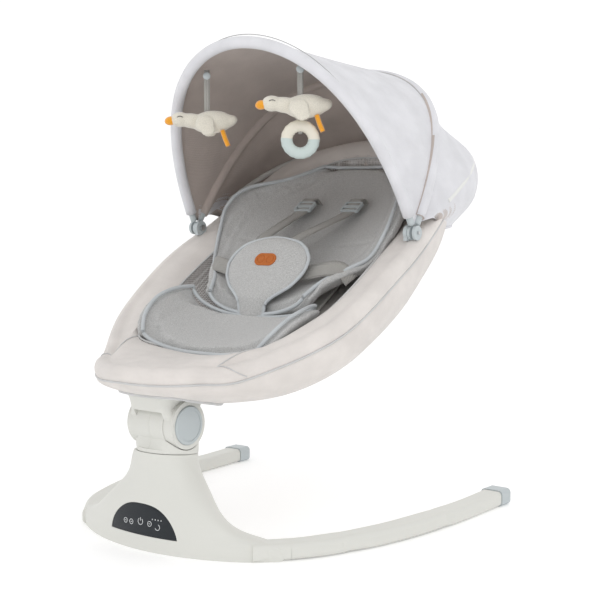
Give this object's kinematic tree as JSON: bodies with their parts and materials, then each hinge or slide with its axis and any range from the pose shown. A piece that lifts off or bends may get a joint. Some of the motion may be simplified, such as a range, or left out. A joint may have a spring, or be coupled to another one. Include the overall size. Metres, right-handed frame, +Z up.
{
  "type": "baby swing",
  "caption": "Powered infant swing: oval reclining seat on a front column with two curved floor legs, harness, folding canopy and hanging toys.",
  "frame": {"origin": "on the floor under the swing column, on the plane of symmetry", "axes": "+Z up, +Y from the feet end to the head end of the seat, +X to the seat's side; X = 0 is the plane of symmetry of the frame"},
  "size_m": [0.58, 0.7115, 0.7287],
  "materials": {
    "shell_white": "satin moulded",
    "cap_grey": "satin moulded",
    "panel_dark": "gloss",
    "steel": "plain",
    "tube_white": "powder coat",
    "rubber_grey": "matt",
    "board_green": "matt",
    "coil_copper": "enamelled winding",
    "speaker_black": "matt",
    "cover_cloth": "smooth woven",
    "pad_cloth": "melange jersey",
    "canopy_cloth": "fine woven",
    "webbing": "ribbed webbing",
    "badge_leather": "embossed",
    "buckle_grey": "satin moulded",
    "plush_cream": "short pile plush",
    "teether_mint": "matt silicone",
    "inner_board": "matt"
  },
  "bodies": {
    "base": {"base_housing": "shell_white", "base_cover": "cap_grey", "rubber_feet": "rubber_grey", "cover_screws": "steel", "left_leg": "shell_white", "right_leg": "shell_white", "left_leg_cap": "cap_grey", "right_leg_cap": "cap_grey", "control_panel": "panel_dark", "circuit_board": "board_green", "speaker": "speaker_black", "drive_coil": "coil_copper", "shaft_bushes": "buckle_grey", "bush_bridge": "cap_grey", "dc_socket": "speaker_black"},
    "neck": {"swing_shaft": "steel", "drive_magnet": "steel", "neck_shell_left": "shell_white", "neck_shell_right": "shell_white"},
    "seat": {"hinge_pin": "steel", "seat_bracket": "shell_white", "seat_ring_left": "tube_white", "seat_ring_right": "tube_white", "ring_plugs": "steel", "ring_arm_left": "tube_white", "ring_arm_right": "tube_white", "seat_board": "inner_board", "seat_cover": "cover_cloth", "seat_pad": "pad_cloth", "back_pad": "pad_cloth", "crotch_shield": "pad_cloth", "leather_badge": "badge_leather", "crotch_strap": "pad_cloth", "buckle": "buckle_grey", "waist_strap_left": "webbing", "waist_strap_right": "webbing", "shoulder_strap_left": "webbing", "shoulder_strap_right": "webbing", "strap_slide_left": "cap_grey", "strap_slide_right": "cap_grey", "rear_bow": "tube_white", "canopy_rear": "canopy_cloth", "canopy_bosses": "cap_grey", "hinge_screws": "steel", "button_spring_left": "steel", "button_spring_right": "steel"},
    "button_left": {"recline_button_left": "cap_grey"},
    "button_right": {"recline_button_right": "cap_grey"},
    "buckle_button": {"buckle_button": "buckle_grey"},
    "mid_bow": {"mid_bow": "tube_white", "mid_bow_hubs": "cap_grey"},
    "front_bow": {"front_bow": "tube_white", "front_hem": "canopy_cloth", "front_bow_hubs": "cap_grey", "canopy_front": "canopy_cloth"},
    "toy_left": {"toy_strap_left": "webbing", "goose_left": "plush_cream"},
    "toy_right": {"toy_strap_right": "webbing", "goose_right": "plush_cream", "teether_ring": "teether_mint"}
  },
  "joints": [
    {"name": "swing", "type": "hinge", "parent": "base", "child": "neck", "pos_m": [0, 0, 0.131], "axis": [0, 0.1045, 0.9945], "range_deg": [-13, 13]},
    {"name": "recline", "type": "hinge", "parent": "neck", "child": "seat", "pos_m": [0, -0.003, 0.173], "axis": [1, 0, 0], "range_deg": [-9, 6]},
    {"name": "button_left_press", "type": "slide", "parent": "seat", "child": "button_left", "axis": [1, 0, 0], "range_m": [0, 0.004], "stiffness_N_per_m": 700, "springref_m": -0.002, "deforming": ["button_spring_left"]},
    {"name": "button_right_press", "type": "slide", "parent": "seat", "child": "button_right", "axis": [-1, 0, 0], "range_m": [0, 0.004], "stiffness_N_per_m": 700, "springref_m": -0.002, "deforming": ["button_spring_right"]},
    {"name": "buckle_press", "type": "slide", "parent": "seat", "child": "buckle_button", "axis": [0, 0.8097, -0.5868], "range_m": [0, 0.003], "stiffness_N_per_m": 500, "springref_m": -0.002},
    {"name": "canopy_mid", "type": "hinge", "parent": "seat", "child": "mid_bow", "pos_m": [0, 0.306, 0.437], "axis": [-1, 0, 0], "range_deg": [0, 20], "deforming": ["canopy_rear"]},
    {"name": "canopy_front", "type": "hinge", "parent": "mid_bow", "child": "front_bow", "pos_m": [0, 0.306, 0.437], "axis": [-1, 0, 0], "range_deg": [0, 38], "deforming": ["canopy_front"]},
    {"name": "toy_left_swing", "type": "hinge", "parent": "front_bow", "child": "toy_left", "pos_m": [-0.091, 0.192, 0.686], "axis": [1, 0, 0], "range_deg": [-20, 20]},
    {"name": "toy_right_swing", "type": "hinge", "parent": "front_bow", "child": "toy_right", "pos_m": [0.091, 0.192, 0.686], "axis": [1, 0, 0], "range_deg": [-20, 20]}
  ],
  "couplings": [
    {"joint": "canopy_front", "follows": "canopy_mid", "ratio": 1.9}
  ]
}
